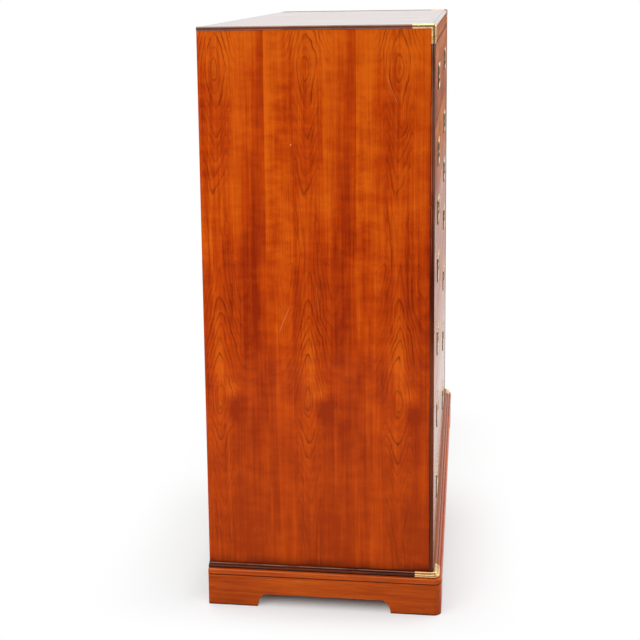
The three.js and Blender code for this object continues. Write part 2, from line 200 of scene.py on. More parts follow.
@dataclass(frozen=True)
class Val:
    """A socket of a finish's node sheet, which takes part in sums."""

    sheet: Sheet
    socket: bpy.types.NodeSocket

    __add__ = __radd__ = operation("ADD", "The sum.")
    __sub__ = operation("SUBTRACT", "The difference.")
    __rsub__ = operation("SUBTRACT", "The difference, from a number.", flipped=True)
    __mul__ = __rmul__ = operation("MULTIPLY", "The product.")
    __truediv__ = operation("DIVIDE", "The quotient.")
    __pow__ = operation("POWER", "The power.")
    __lt__ = operation("LESS_THAN", "1 where this is less than the other.")
    __gt__ = operation("GREATER_THAN", "1 where this is more than the other.")
    greater = operation("MAXIMUM", "The greater of the two.")
    lesser = operation("MINIMUM", "The lesser of the two.")
    floor = operation("FLOOR", "The whole number below.")
    fract = operation("FRACT", "What is left above the whole number.")
    abs = operation("ABSOLUTE", "The size without its sign.")
    root = operation("SQRT", "The square root.")

    def ease(self, low: float, high: float) -> Val:
        """0 below low, 1 above high and a smooth rise between them."""
        inputs = {"Value": self, "From Min": low, "From Max": high}
        return self.sheet.take("MapRange", inputs, "Result", interpolation_type="SMOOTHSTEP")


Number = Val | float


class Sheet:
    """The node sheet of one finish."""

    def __init__(self, name: str, holder: bpy.types.World | None = None) -> None:
        """Starts an empty sheet.

        Args:
            name: The material's name.
            holder: What gets the sheet instead of a new material.
        """
        self.material = holder or bpy.data.materials.new(name)
        self.material.use_nodes = True
        self.tree = self.material.node_tree
        self.tree.nodes.clear()

    def node(self, kind: str, inputs: dict[Any, Any] | None = None, **settings: Any) -> bpy.types.Node:
        """Adds a node.

        Args:
            kind: Its type, without the words that all shader nodes start with.
            inputs: Values or links, by socket.
            settings: What is set first.

        Returns:
            The node.
        """
        made = self.tree.nodes.new(f"ShaderNode{kind}")
        for key, value in settings.items():
            setattr(made, key, value)
        for key, value in (inputs or {}).items():
            if isinstance(value, Val):
                self.tree.links.new(value.socket, made.inputs[key])
            else:
                made.inputs[key].default_value = value
        return made

    def take(self, kind: str, inputs: dict[Any, Any], output: str | int = 0, **settings: Any) -> Val:
        """Adds a node and gives one of its outputs, by name or number."""
        return Val(self, self.node(kind, inputs, **settings).outputs[output])

    def math(self, kind: str, *values: Number) -> Val:
        """Adds a Math node of some kind for its numbers, in order."""
        return self.take("Math", dict(enumerate(values)), operation=kind)

    def parts(self, coordinate: str = "Object") -> tuple[Val, ...]:
        """X, Y and Z of the point's place on the chest at rest, or of another coordinate."""
        split = self.node("SeparateXYZ", {0: self.take("TexCoord", {}, coordinate)})
        return tuple(Val(self, part) for part in split.outputs)

    def crest(self, axis: int, share: float) -> Val:
        """1 on the line of a bead where the surface faces an axis, 0 to 2, by a given share."""
        return 1 - (self.parts("Normal")[axis].abs() - share).abs().ease(0.07, 0.2)

    def seen(self, mirrored: Number = 1.0) -> Val:
        """1 on a camera's ray, and less on one that metal or glass sends on.

        Args:
            mirrored: How much it is on those.

        Returns:
            A number from 0 to 1.
        """
        path = self.node("LightPath")
        kinds = ("Is Camera Ray", "Is Glossy Ray", "Is Transmission Ray")
        camera, glossy, through = (Val(self, path.outputs[kind]) for kind in kinds)
        return camera + (glossy + through) * mirrored

    def noise(
        self, spot: tuple[Number, ...], detail: float = 3.0, rough: float = 0.5, scale: float = 1.0
    ) -> Val:
        """Smooth noise about 0.5.

        Args:
            spot: The X, Y and Z where it is read.
            detail: How many finer octaves it has.
            rough: How strong those are.
            scale: Waves a unit.

        Returns:
            A number from 0 to 1.
        """
        vector = self.take("CombineXYZ", dict(enumerate(spot)))
        inputs = {"Vector": vector, "Scale": scale, "Detail": detail, "Roughness": rough}
        return self.take("TexNoise", inputs)

    def ramp(self, value: Val, *stops: tuple[float, Colour]) -> Val:
        """A colour for each value.

        Args:
            value: The value.
            stops: The ramp's places and colours, in order.

        Returns:
            The colour.
        """
        made = self.node("ValToRGB", {0: value})
        elements = made.color_ramp.elements
        while len(elements) < len(stops):
            elements.new(0.5)
        for element, stop in zip(elements, stops):
            element.position, element.color = stop
        return Val(self, made.outputs[0])

    def mix(self, share: Number, first: Val | Colour, second: Val | Colour) -> Val:
        """Mixes two colours, with a share of the second."""
        inputs = {0: share, 6: first, 7: second}
        return self.take("Mix", inputs, 2, data_type="RGBA", clamp_factor=True)

    def bump(self, height: Val, distance: float, strength: float) -> Val:
        """A surface normal from a height of 0 to 1, which stands for a distance in metres."""
        return self.take("Bump", {"Height": height, "Distance": distance, "Strength": strength})

    def close(self, **inputs: Any) -> Material:
        """Ends the sheet in one surface shader.

        Args:
            inputs: Its sockets, with an underscore for each space.

        Returns:
            The material.
        """
        sockets = {key.replace("_", " "): value for key, value in inputs.items()}
        self.node("OutputMaterial", {0: self.take("BsdfPrincipled", sockets)})
        return self.material


# ---- Finishes ----


class Run(Enum):
    """Which way a board's grain runs, as the axes along it, across it and through the board."""

    ALONG_X = (0, 2, 1)
    ALONG_Y = (1, 2, 0)
    ALONG_Z = (2, 1, 0)


@dataclass(frozen=True)
class Tones:
    """The four tones of a wood, from its dark lines to its lightest figure."""

    line: Colour
    deep: Colour
    body: Colour
    light: Colour


VENEER_THICK = 0.9 * MM
CHERRY = Tones(srgb(86, 24, 5), srgb(158, 42, 4), srgb(204, 70, 5), srgb(236, 104, 14))
FRONT = Tones(srgb(80, 32, 12), srgb(140, 56, 14), srgb(176, 84, 25), srgb(210, 126, 47))
PLINTH = Tones(srgb(96, 34, 8), srgb(162, 60, 8), srgb(194, 80, 12), srgb(220, 112, 30))
CAP = Tones(srgb(100, 34, 8), srgb(168, 60, 8), srgb(196, 80, 12), srgb(222, 114, 32))
TOP = Tones(srgb(58, 18, 6), srgb(98, 32, 8), srgb(134, 48, 10), srgb(170, 80, 22))
BEAD = Tones(srgb(38, 13, 7), srgb(72, 26, 13), srgb(100, 43, 22), srgb(134, 66, 38))
CORE = Tones(srgb(58, 28, 14), srgb(96, 50, 24), srgb(126, 70, 36), srgb(156, 94, 52))
OAK = Tones(srgb(128, 92, 56), srgb(176, 138, 92), srgb(202, 166, 118), srgb(222, 192, 148))
BOARD = Tones(srgb(70, 46, 28), srgb(104, 72, 44), srgb(132, 96, 62), srgb(158, 122, 84))


@dataclass(frozen=True)
class PlainWood:
    """Straight-grained wood, such as a moulding or a hidden board."""

    name: str
    tones: Tones
    run: Run
    polish: float = 0.0
    rough: float = 0.3
    grain: float = 1.0
    gloss: float = 0.05
    cloudy: float = 1.1
    streaky: float = 0.9
    wraps_at: float | None = None
    # The last fields paint marks: a crest line of wear and painted highlight, painted light on the front run
    # and painted shade below a height.
    wear_and_highlight: float = 0.0
    wear_and_highlight_line: tuple[int, float] = (2, 0.68)
    wear_and_highlight_above: tuple[float, float] = (-1.0, 0.0)
    wear_and_highlight_tone: Colour = srgb(178, 134, 112)
    painted_front_light: float = 0.0
    painted_shade_below: float | None = None

    def figure(self, sheet: Sheet, *spot: Val) -> tuple[Val, Val]:
        """The wood's colour and the height of its pores.

        Args:
            sheet: The node sheet.
            spot: The point's X, Y and Z.

        Returns:
            The colour and the height.
        """
        along, across, through = (spot[axis] for axis in self.run.value)
        cloud = sheet.noise((along * 3.0, across * 9.0, through * 9.0), 4.0)
        streak = sheet.noise((along * 6.0, across * 160.0, through * 160.0), 4.0, 0.6, self.grain)
        fibre = sheet.noise((along * 30.0, across * 900.0, through * 900.0), 2.0, 0.5, self.grain)
        tone = (cloud - 0.5) * self.cloudy + (streak - 0.5) * self.streaky + (fibre - 0.5) * 0.4 + 0.5
        tones = self.tones
        stops = ((0.12, tones.line), (0.36, tones.deep), (0.56, tones.body), (0.85, tones.light))
        return sheet.ramp(tone, *stops), fibre

    def build(self) -> Material:
        """Makes the material.

        Returns:
            The material.
        """
        sheet = Sheet(self.name)
        x, y, z = sheet.parts()
        across, along = x, y
        if self.wraps_at:
            side = x.abs() > self.wraps_at
            across, along = x + (y - x) * side, y + (x - y) * side
        colour, fibre = self.figure(sheet, across, along, z)
        wear = sheet.noise((x, y, z), 4.0, scale=22.0)
        # Painted shade: below a given height the wood is darkened, as in a crease or where it meets the
        # floor.
        if self.painted_shade_below:
            colour = sheet.mix((z < self.painted_shade_below) * 0.85, colour, srgb(24, 10, 6))
        # Painted light: the run along the front is lightened, as if lit from the front.
        if self.painted_front_light:
            front = (CHEST.front_y - y).ease(-1 * MM, 2 * MM)
            colour = sheet.mix(front * self.painted_front_light, colour, srgb(198, 110, 74))
        # Wear and a painted highlight: a lighter line along a bead's crest, broken up by the wear noise.
        if self.wear_and_highlight:
            share = sheet.crest(*self.wear_and_highlight_line) * z.ease(*self.wear_and_highlight_above)
            colour = sheet.mix(share * wear.ease(0.2, 0.6) * self.wear_and_highlight, colour, self.wear_and_highlight_tone)
        return sheet.close(
            Base_Color=colour,
            Roughness=(wear - 0.5) * 0.2 + self.rough,
            Specular_IOR_Level=self.gloss,
            Coat_Weight=self.polish,
            Coat_Roughness=0.1,
            Normal=sheet.bump(fibre, 0.05 * MM, 0.5),
        )


@dataclass(frozen=True)
class FlitchVeneer:
    """Slip-matched leaves of flat-cut veneer, whose rings close in loops along the grain."""

    tones: Tones
    leaf: float
    seam: float
    heart: float
    loop_at: float
    loop_every: float
    # fade and the mid shade paint light and shade along the grain.
    fade: float = 0.0
    painted_mid_shade: float = 0.0
    seed: float = 0.0
    ring: float = 7 * MM
    swell: float = 84 * MM
    tip: float = 9 * MM
    core: float = 28 * MM
    spread: float = 26 * MM
    eye: tuple[float, float] = (8 * MM, 25 * MM)
    knot: float = 0.3
    knot_aside: float = 34 * MM
    glow: tuple[float, float] = (0.7, 1.22)

    def knots(self, side: Val, along: Val) -> Val:
        """The bright flare and the dark swirl beside each loop.

        Args:
            side: How far the point lies from the leaf's heart.
            along: Its place along the grain.

        Returns:
            What they add to the tone.
        """
        x, z = side - self.knot_aside, (along - self.loop_at) * 0.7
        dark = 1 - ((x - 4 * MM) ** 2 + (z + 18 * MM) ** 2).root().ease(2 * MM, 36 * MM)
        flare = 1 - ((x + 6 * MM) ** 2 + (z - 10 * MM) ** 2).root().ease(2 * MM, 24 * MM)
        return (flare - dark) * self.knot

    def leaves(self, share: Val, along: Val, cloud: Val, mottle: Val) -> Val:
        """The golden and the dusky band at each leaf's edges.

        Args:
            share: The point's place across its leaf, 0 to 1.
            along: Its place along the grain.
            cloud: The broad noise.
            mottle: The fine noise.

        Returns:
            What they add to the tone.
        """
        low, high = self.glow
        ebb = along.ease(low, low + 0.14) * (1 - along.ease(high - 0.1, high))
        hair = (1 - share.ease(0.0, 0.045)) * (cloud - 0.1)
        golden = (1 - share.ease(0.06, 0.4)) * ebb * (mottle * 1.8 - 0.5) * 0.3 + hair * 0.34
        dusky = share.ease(0.62, 0.84) * (0.25 + ebb * 0.06) * (1 - share.ease(0.9, 1.0) * 0.3)
        return golden - dusky - (1 - share.ease(0.2, 0.4)) * 0.09

    def figure(self, sheet: Sheet, along: Val, across: Val) -> tuple[Val, Val]:
        """The veneer's colour and the height of its pores.

        Args:
            sheet: The node sheet.
            along: The point's place along the grain.
            across: The point's place across it.

        Returns:
            The colour and the height.
        """
        noise = sheet.noise
        turn = (self.seam - across) / self.leaf
        share = turn.fract()
        seed = turn.floor() * 0.11 + self.seed
        warp = noise((share * 2.6, along * 6.0, seed))
        drift = noise((0.3, along * 3.1, seed * 0.4), 2.0)
        sway = noise((across * 26.0, along * 12.0, seed), 2.0)
        side = (share - self.heart) * self.leaf + (drift - 0.5) * 0.035 + (warp - 0.5) * 0.014
        side = side + (sway - 0.5) * 0.012
        swing = ((along - self.loop_at) / self.loop_every + 0.5).fract() - 0.5
        far = (swing * swing + 0.0009).root() * 2
        arch = swing.ease(-0.06, 0.12) * (1 - swing.ease(0.36, 0.5))
        off = side.abs() / (arch * self.spread + self.core)
        flank = off.ease(0.7, 1.9)
        rise = far.ease(-0.45, 0.95) * self.swell * (1 - flank * 0.8) + (warp - 0.5) * 0.016
        across_rings = (side * side + self.tip * self.tip).root() * (1.0 - flank * 0.15)
        tremble = noise((across * 34.0, along * 24.0, seed), 5.0, 0.55)
        growth = (across_rings + rise) / self.ring + (tremble - 0.5) * 0.9
        growth = growth + (noise((growth * 0.5, seed + 2.0, 0.0), 1.0) - 0.5) * 1.1
        rings = growth.fract()
        clear = noise((growth.floor() * 0.77, seed + 6.0, along * 2.0), 1.0)
        late = rings.ease(0.2, 0.93) * (1 - rings.ease(0.95, 1.0))
        strength = noise((share * 6.0, along * 16.0, seed + 4.0))
        line = late**5.0 * strength.ease(0.34, 0.6) * (1 - off.ease(0.45, 1.05) * 0.92)
        line = line * (clear.ease(0.38, 0.6) * 0.9 + 0.2)
        wide, high = self.eye
        eye = ((side / wide) ** 2 + (swing * self.loop_every / high) ** 2).root()
        eye = eye + (tremble - 0.5) * 1.2 + (warp - 0.5) * 0.8
        line = line + (1 - line) * (1 - (eye - 1).abs().ease(0.02, 0.22)) * 0.6
        cloud = noise((share * 2.2, along * 4.2, seed * 0.5 + 9.0), 5.0, 0.6)
        smoke = noise((share * 4.2, along * 1.4, seed * 0.3 + 2.0))
        mottle = noise((across * 18.0, along * 42.0, seed), 5.0, 0.65)
        fibre = noise((across * 480.0, along * 7.0, seed), 3.0, 0.6)
        streak = noise((across * 130.0, along * 2.2, seed), 3.0, 0.55)
        pore = noise((across * 1300.0, along * 60.0, 1.0), 2.0)
        tone = (cloud - 0.5) * 1.3 + (smoke - 0.5) * 1.4 + (mottle - 0.5) * 0.7
        # Painted light and shade by height: fade makes the tone rise along the grain, and the mid shade
        # darkens the middle.
        tone = tone + (fibre - 0.5) * 0.65 + (streak - 0.5) * 0.75 + (along - 0.68) * self.fade
        tone = tone - along.ease(0.35, 0.6) * (1 - along.ease(0.75, 0.95)) * self.painted_mid_shade
        tone = tone + self.leaves(share, along, cloud, mottle) + self.knots(side, along)
        tone = tone - late * (1 - flank) * 0.09 + 0.65
        tones = self.tones
        ground = sheet.ramp(tone, (0.06, tones.deep), (0.5, tones.body), (0.98, tones.light))
        lined = sheet.mix(line * 0.66, ground, tones.line)
        return sheet.mix(pore.ease(0.6, 0.78) * 0.2, lined, tones.line), fibre


@dataclass(frozen=True)
class SidePanelFinish:
    """The polished veneer of an end panel, darker towards its mouldings and its foot."""

    name: str = "veneered_side"
    # The side veneer is painted lighter high up and darker through the middle, as light and shade.
    veneer: FlitchVeneer = FlitchVeneer(
        CHERRY, 192 * MM, 309 * MM, 0.46, 474 * MM, 707 * MM, fade=0.5, painted_mid_shade=0.13
    )
    scratches: tuple[Scratch, ...] = (
        ((0.064, 0.686), (0.096, 0.612), 0.9 * MM, 0.45),
        ((0.060, 1.0262), (0.064, 1.0222), 1.4 * MM, 0.9),
        ((-0.227, 0.8965), (-0.232, 0.8945), 1.4 * MM, 0.9),
        ((-0.134, 1.172), (-0.166, 1.100), 0.8 * MM, 0.4),
        ((0.012, 0.735), (0.006, 0.66), 0.7 * MM, 0.3),
    )

    def build(self) -> Material:
        """Makes the material.

        Returns:
            The material.
        """
        sheet = Sheet(self.name)
        x, y, z = sheet.parts()
        veneered, fibre = self.veneer.figure(sheet, z, y)
        core, _ = PlainWood("", CORE, Run.ALONG_Z, cloudy=0.6).figure(sheet, x, y, z)
        colour = sheet.mix(x.abs() > CHEST.half_width - VENEER_THICK, core, veneered)
        colour = sheet.mix((1 - z.ease(0.05, 0.8)) * 0.3, colour, srgb(190, 82, 16))
        wear = sheet.noise((y, x, z * 0.5), 4.0, scale=14.0)
        # Dirt and painted shade: the veneer darkens beside the base moulding and the front bead.
        lowest = (z - (CHEST.reed_top + 1 * MM)).ease(0.0, 22 * MM)
        front = (y - (CHEST.front_y + 2 * MM)).ease(0.0, 12 * MM)
        dirt_and_shade = (1 - lowest * front) * wear.ease(0.2, 0.7)
        colour = sheet.mix(dirt_and_shade * 0.6, colour, srgb(58, 18, 8))
        for (y0, z0), (y1, z1), width, strength in self.scratches:
            way = math.hypot(y1 - y0, z1 - z0)
            u, v = (y1 - y0) / way, (z1 - z0) / way
            off = ((y - y0) * v - (z - z0) * u + (wear - 0.5) * width * 8).abs()
            along = (y - y0) * u + (z - z0) * v
            ends = along.ease(0.0, way * 0.3) * (1 - along.ease(way * 0.7, way))
            mark = (1 - off.ease(width * 0.3, width)) * ends
            colour = sheet.mix(mark * strength, colour, srgb(232, 168, 110))
        return sheet.close(
            Base_Color=colour,
            Roughness=(wear - 0.5) * 0.22 + 0.36,
            Specular_IOR_Level=0.04,
            Coat_Weight=(wear * 0.1 + 0.02) * (z.ease(0.1, 0.7) * 0.7 + 0.3),
            Coat_Roughness=0.08,
            Normal=sheet.bump(fibre, 0.04 * MM, 0.4),
        )


@dataclass(frozen=True)
class TopFinish:
    """The polished veneer of the top, with its grain along the front."""

    name: str = "veneered_top"
    veneer: FlitchVeneer = FlitchVeneer(TOP, 160 * MM, 300 * MM, 0.5, 0.1, 0.9, seed=3.0)

    def build(self) -> Material:
        """Makes the material.

        Returns:
            The material.
        """
        sheet = Sheet(self.name)
        x, y, z = sheet.parts()
        veneered, fibre = self.veneer.figure(sheet, x, y)
        core, _ = PlainWood("", CORE, Run.ALONG_X, cloudy=0.6).figure(sheet, x, y, z)
        colour = sheet.mix(z > CHEST.height - CHEST.bead_stand - VENEER_THICK, core, veneered)
        wear = sheet.noise((x, y, z), 5.0, scale=9.0)
        return sheet.close(
            Base_Color=colour,
            Roughness=(wear - 0.5) * 0.2 + 0.3,
            Specular_IOR_Level=0.3,
            Coat_Weight=0.95,
            Coat_Roughness=0.1,
            Normal=sheet.bump(fibre, 0.02 * MM, 0.3),
        )


@dataclass(frozen=True)
class FrontFinish:
    """The polished veneer of the rail and the drawer fronts, faded high up and glossy lower down."""

    name: str = "veneered_front"
    middle: float = 1.24
    seed: float = 0.0

    def face(self, sheet: Sheet, x: Val, z: Val) -> tuple[Val, Val]:
        """The face's colour and the height of its pores.

        Args:
            sheet: The node sheet.
            x: The point's X.
            z: The point's Z.

        Returns:
            The colour and the height.
        """
        leaf, loop_at = 190 * MM, -0.2 + 0.13 * self.seed
        veneer = FlitchVeneer(FRONT, leaf, self.middle + leaf / 2, 0.5, loop_at, 0.86, seed=self.seed)
        return veneer.figure(sheet, x, z)

    @staticmethod
    def polish(z: Val) -> Val:
        """How much of the gloss is left at a height: little near the top, where sun has dulled it."""
        return (1 - z.ease(0.81, 0.97)) * 0.34 + (1 - z.ease(0.22, 0.66)) * 0.55 + 0.01

    @staticmethod
    def dullness(z: Val) -> Val:
        """How rough the finish is at a height."""
        return z.ease(0.83, 0.98) * 0.2 + 0.54

    def build(self) -> Material:
        """Makes the material.

        Returns:
            The material.
        """
        sheet = Sheet(self.name)
        x, _, z = sheet.parts()
        colour, fibre = self.face(sheet, x, z)
        wear = sheet.noise((x, z, 0.0), 4.0, scale=12.0)
        return sheet.close(
            Base_Color=colour,
            Roughness=(wear - 0.5) * 0.2 + self.dullness(z),
            Specular_IOR_Level=0.3,
            Coat_Weight=self.polish(z),
            Coat_Roughness=0.16,
            Normal=sheet.bump(fibre, 0.04 * MM, 0.4),
        )


@dataclass(frozen=True)
class DrawerFinish:
    """A drawer: veneered front, pale dovetailed sides and back, and a bottom board."""

    row: int
    pitch: float = 34 * MM
    tail: float = 12.5 * MM
    inner_x: float = 612.2 * MM
    outer_x: float = 623.4 * MM
    lap_x: float = 625.5 * MM
    back_gap: float = 31 * MM
    floor_rise: float = 13.7 * MM

    def tails(self, z: Val, into: Val, low: float) -> tuple[Val, Val]:
        """The dovetails of one corner, seen square on to the side.

        Args:
            z: The point's height.
            into: 0 at the joint's root and 1 at the tails' ends.
            low: Where the lowest tail starts.

        Returns:
            1 on a tail, and 1 on the line round it.
        """
        wave = (((z - low) / self.pitch).fract() - 0.5).abs() * 2
        edge = into * 0.2 + 0.52
        return wave < edge, 1 - (wave - edge).abs().ease(0.02, 0.06)

    def build(self) -> Material:
        """Makes the material.

        Returns:
            The material.
        """
        sheet = Sheet(f"drawer_{self.row}_woods")
        x, y, z = sheet.parts()
        upper, lower = CHEST.lines[self.row - 1], CHEST.lines[self.row]
        front = FrontFinish(middle=(upper + lower) / 2, seed=float(self.row))
        face, fibre = front.face(sheet, x, z)
        # Painted shade along the joints: a dark band at each drawer front's top and bottom edges, wider under
        # the top rail on the first drawer.
        rim = 6 * MM if self.row == 1 else 2.4 * MM
        clear_of_joint_shade = (upper - z).ease(rim * 0.5, rim) * (z - lower).ease(1.0 * MM, 2.2 * MM)
        face = sheet.mix((1 - clear_of_joint_shade) * 0.9, face, srgb(34, 16, 8))
        shade = self.row * 1.7
        sides, side_fibre = PlainWood("", OAK, Run.ALONG_Y, grain=0.6).figure(sheet, x + shade, y, z)
        across, _ = PlainWood("", OAK, Run.ALONG_X, grain=0.6).figure(sheet, x, y + shade, z)
        base, _ = PlainWood("", OAK, Run.ALONG_X, grain=0.35).figure(sheet, x, z + shade, y)
        front_back = CHEST.face_y + CHEST.front_thick
        back_root, front_root = CHEST.back_y - self.back_gap - self.tail, front_back - self.tail
        low = lower + CHEST.dust_thick / 2
        within = x.abs() < self.inner_x
        box = sheet.mix((y > back_root - 0.2 * MM) * within, sides, across)
        box = sheet.mix((z < low + self.floor_rise) * within, box, base)
        tail, line = self.tails(z, (y - back_root) / self.tail, low)
        at_back = (y > back_root - 0.1 * MM) * (x.abs() > self.outer_x)
        box = sheet.mix(at_back * (1 - tail) * 0.45, box, srgb(120, 80, 44))
        box = sheet.mix(at_back * line * 0.75, box, srgb(52, 32, 18))
        tail, line = self.tails(z, 1 - (y - front_root) / self.tail, low)
        lap = (x.abs() > self.lap_x) * (y > front_root) * (y < front_back + 0.01 * MM)
        rind = y.ease(CHEST.face_y + 1.2 * MM, CHEST.face_y + 1.5 * MM)
        timber = sheet.mix(rind, face, srgb(112, 62, 34))
        timber = sheet.mix(lap * tail, timber, sides)
        timber = sheet.mix(lap * line * 0.8, timber, srgb(46, 26, 15))
        is_front = y < front_back + 0.02 * MM
        colour = sheet.mix(is_front, box, timber)
        wear = sheet.noise((x, z, y), 4.0, scale=12.0)
        dust = sheet.noise((x, y, z), 5.0, scale=5.0)
        colour = sheet.mix((1 - is_front) * dust.ease(0.5, 0.8) * 0.3, colour, srgb(150, 122, 92))
        height = fibre * is_front + side_fibre * (1 - is_front)
        return sheet.close(
            Base_Color=colour,
            Roughness=(wear - 0.5) * 0.2 + front.dullness(z) * is_front + (1 - is_front) * 0.66,
            Specular_IOR_Level=0.3,
            Coat_Weight=front.polish(z) * is_front,
            Coat_Roughness=0.16,
            Normal=sheet.bump(height, 0.05 * MM, 0.45),
        )


@dataclass(frozen=True)
class BrassFinish:
    """Old lacquered brass, browner where hands and polish don't reach."""

    name: str = "aged_brass"
    bright: Colour = srgb(246, 208, 150)
    dull: Colour = srgb(200, 148, 90)
    rough: float = 0.2
    painted_side_shade: float = 0.0

    def build(self) -> Material:
        """Makes the material.

        Returns:
            The material.
        """
        sheet = Sheet(self.name)
        x, y, z = sheet.parts()
        patina = sheet.noise((x, y, z), 4.0, scale=60.0)
        speck = sheet.noise((x, y, z), scale=500.0)
        brushed = sheet.noise((x * 40.0, y * 900.0, z * 900.0), 2.0)
        worn = patina.ease(0.4, 0.72)
        colour = sheet.mix(worn * 0.8, self.bright, self.dull)
        colour = sheet.mix(speck.ease(0.68, 0.84) * 0.3, colour, srgb(96, 64, 36))
        # Painted shade and reflection: faces turned sideways along X are darkened.
        if self.painted_side_shade:
            side = sheet.parts("Normal")[0].abs().ease(0.25, 0.7)
            colour = sheet.mix(side * self.painted_side_shade, colour, srgb(40, 28, 16))
        return sheet.close(
            Base_Color=colour,
            Metallic=1.0,
            Roughness=worn * 0.18 + (brushed - 0.5) * 0.12 + self.rough,
            Normal=sheet.bump(patina + brushed * 0.2, 0.02 * MM, 0.25),
        )


@dataclass(frozen=True)
class NailFinish:
    """Plain steel with spots of rust."""

    name: str = "nail_steel"

    def build(self) -> Material:
        """Makes the material.

        Returns:
            The material.
        """
        sheet = Sheet(self.name)
        rust = sheet.noise(sheet.parts(), 4.0, scale=300.0).ease(0.4, 0.7)
        colour = sheet.mix(rust, srgb(110, 106, 102), srgb(92, 56, 36))
        return sheet.close(Base_Color=colour, Metallic=0.9, Roughness=rust * 0.3 + 0.4)


@dataclass(frozen=True)
class FloorFinish:
    """The plain pale floor of the studio, which fades to white away from the chest for the camera."""

    name: str = "pale_floor"
    fade: float = 0.26
    aside: float = 0.06

    def build(self) -> Material:
        """Makes the material.

        Returns:
            The material.
        """
        sheet = Sheet(self.name)
        x, y, _ = sheet.parts()
        beside = x.abs() - CHEST.half_width
        before = (y - self.aside).abs() - CHEST.back_y
        inside = beside.greater(before).lesser(0.0)
        beside, before = beside.greater(0.0) * 1.6, before.greater(0.0)
        away = (beside * beside + before * before).root() + inside
        share = away.ease(-0.045, 0.03) * 0.4 + away.ease(0.0, self.fade) * 0.6
        share = share + (1 - share) * x.ease(-0.2, 0.2) * away.ease(0.0, 0.03) * 0.75
        inputs = {"Base Color": (0.91, 0.935, 0.945, 1.0), "Roughness": 0.9, "Specular IOR Level": 0.1}
        paper = sheet.take("BsdfPrincipled", inputs)
        white = sheet.take("Emission", {"Color": (1.0, 1.0, 1.0, 1.0), "Strength": 1.0})
        mixed = sheet.take("MixShader", {0: share * sheet.seen(), 1: paper, 2: white})
        sheet.node("OutputMaterial", {0: mixed})
        return sheet.material


# ---- Forms ----


def arc(u: float, v: float, radius: float, start: float, end: float, steps: int) -> Outline:
    """Points on an arc about a centre, from one angle to another in degrees, both ends included."""
    angles = (math.radians(start + (end - start) * i / steps) for i in range(steps + 1))
    return [(u + radius * math.cos(a), v + radius * math.sin(a)) for a in angles]


def ring(radius: float, sides: int) -> Outline:
    """The points of a closed circle about the origin."""
    return arc(0, 0, radius, 0, 360 - 360 / sides, sides - 1)


def rounded(width: float, height: float, radius: float) -> Outline:
    """A rectangle with round corners, about its middle.

    Args:
        width: Its width.
        height: Its height.
        radius: The corners' radius.

    Returns:
        The points.
    """
    u, v = width / 2 - radius, height / 2 - radius
    corners = ((u, -v, -90), (u, v, 0), (-u, v, 90), (-u, -v, 180))
    return [point for x, z, start in corners for point in arc(x, z, radius, start, start + 90, 6)]


@dataclass(frozen=True)
class Station:
    """A stop on a moulding's way round the case, where what lies inwards may follow a mitre."""

    x: float
    y: float
    out: tuple[float, float]
    mitre: tuple[float, ...] = ()

    def at(self, offset: float, height: float) -> tuple[float, float, float]:
        """The point at an offset outwards and a height."""
        way = self.mitre if self.mitre and offset <= 0 else self.out
        return (self.x + offset * way[0], self.y + offset * way[1], height)


def corner(x: float, y: float, start: float, end: float, steps: int = 14) -> list[Station]:
    """The stops round one front corner of the case, between two headings in degrees."""
    mitre = (math.copysign(1.0, x), -1.0)
    return [Station(x, y, out, mitre) for out in arc(0, 0, 1, start, end, steps)]


def three_sides(x: float, y: float, back: float) -> list[Station]:
    """The stops down the left side, across the front and back along the right side."""
    turns = (*corner(-x, y, 180, 270), *corner(x, y, 270, 360))
    return [Station(-x, back, (-1, 0)), *turns, Station(x, back, (1, 0))]


def linked(name: str, data: bpy.types.ID) -> bpy.types.Object:
    """Puts an object in the scene.

    Args:
        name: Its name.
        data: What it shows.

    Returns:
        The object.
    """
    made = bpy.data.objects.new(name, data)
    bpy.context.scene.collection.objects.link(made)
    return made


def solid(name: str, mesh: bmesh.types.BMesh) -> bpy.types.Object:
    """Turns a mesh in the making into an object, which uses it up.

    Args:
        name: The object's name.
        mesh: The mesh.

    Returns:
        The object.
    """
    data = bpy.data.meshes.new(name)
    mesh.to_mesh(data)
    mesh.free()
    return linked(name, data)


def coat(target: bpy.types.Object, finish: Material) -> None:
    """Gives a carried-over solid its finish.

    Args:
        target: The solid.
        finish: The finish.
    """
    target.data.materials.clear()
    target.data.materials.append(finish)
    LOG.info("dressed %s with %s", target.name, finish.name)


